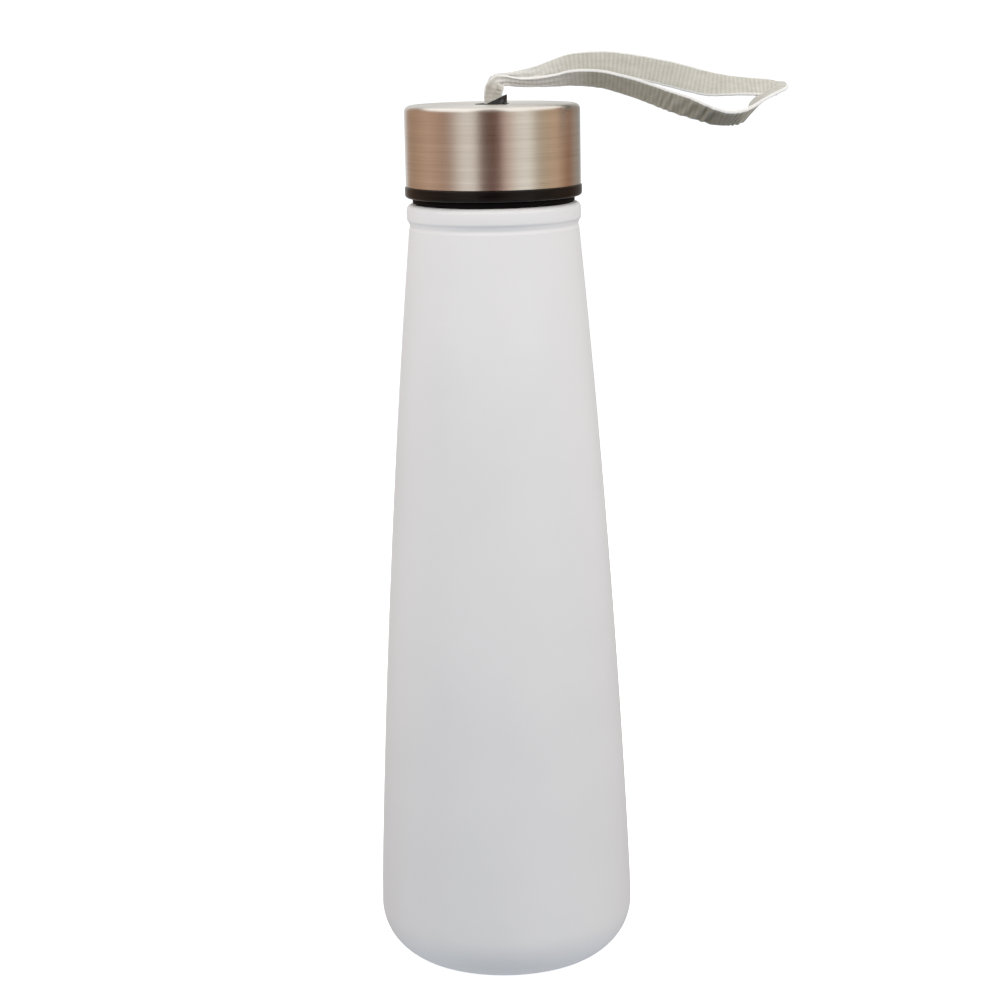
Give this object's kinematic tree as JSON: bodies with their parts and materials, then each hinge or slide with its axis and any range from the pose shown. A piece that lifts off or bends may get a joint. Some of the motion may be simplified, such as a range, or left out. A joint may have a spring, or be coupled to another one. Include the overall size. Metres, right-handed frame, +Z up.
{
  "type": "water bottle",
  "caption": "Conical glass water bottle with a white satin coat, a brushed steel screw lid on a black liner, and a webbing carry strap.",
  "frame": {"origin": "on the bottle's axis, on the surface that it stands on", "axes": "+Z up along the bottle's axis; +X to the side that the strap falls over to"},
  "size_m": [0.1211, 0.075, 0.2635],
  "materials": {
    "white_coated_glass": "satin white coat",
    "seal_silicone": "matte silicone",
    "black_silicone": "matte",
    "brushed_steel": "brushed round the axis",
    "black_plastic": "glossy",
    "holder_plastic": "semi-gloss",
    "pin_steel": "turned",
    "webbing": "ribbed woven webbing"
  },
  "bodies": {
    "bottle": {"glass_bottle": "white_coated_glass"},
    "seal": {"lip_seal": "seal_silicone"},
    "lid": {"lid_shell": "brushed_steel", "lid_liner": "black_plastic", "neck_ring": "black_silicone", "strap_holder": "holder_plastic", "strap_pin": "pin_steel", "strap_root": "webbing"},
    "strap": {"strap_loop": "webbing"}
  },
  "joints": [
    {"name": "lid_rise", "type": "slide", "parent": "bottle", "child": "seal", "axis": [0, 0, 1], "range_m": [0, 0.02]},
    {"name": "lid_turn", "type": "hinge", "parent": "seal", "child": "lid", "pos_m": [0, 0, 0.2405], "axis": [0, 0, 1], "range_deg": [0, 1440]},
    {"name": "strap_fold", "type": "hinge", "parent": "lid", "child": "strap", "pos_m": [0.0003, 0, 0.2556], "axis": [0, -1, 0], "range_deg": [-10, 85], "stiffness_Nm_per_rad": 0.02, "springref_deg": 1.72}
  ],
  "couplings": [
    {"joint": "lid_rise", "follows": "lid_turn", "m_per_rad": 0.00079577}
  ]
}
